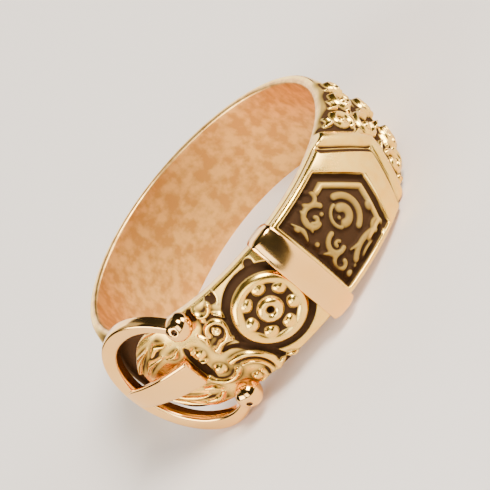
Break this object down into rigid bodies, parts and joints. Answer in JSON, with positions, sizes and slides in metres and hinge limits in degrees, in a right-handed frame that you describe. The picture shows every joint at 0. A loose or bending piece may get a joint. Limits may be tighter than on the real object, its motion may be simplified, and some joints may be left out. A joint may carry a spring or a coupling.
{
  "type": "belt ring",
  "caption": "Finger ring in the form of a fastened belt, with buckle frame, tongue, keeper and raised floral scroll ornament.",
  "frame": {"origin": "centre of the finger hole, half-way along its length", "axes": "+Z along the finger hole towards the fingertip side; the front of the ring, with the flower, faces -Y; +X is the side of the belt's tip"},
  "size_m": [0.0224, 0.0217, 0.0096],
  "materials": {
    "chased_gold": "chased gold with raised ornament, bright on its tops and dark in its recesses",
    "polished_gold": "plain polished gold with light wear"
  },
  "bodies": {
    "root": {"strap": "chased_gold", "buckle_frame": "polished_gold", "tongue": "polished_gold", "keeper": "polished_gold"}
  },
  "joints": []
}
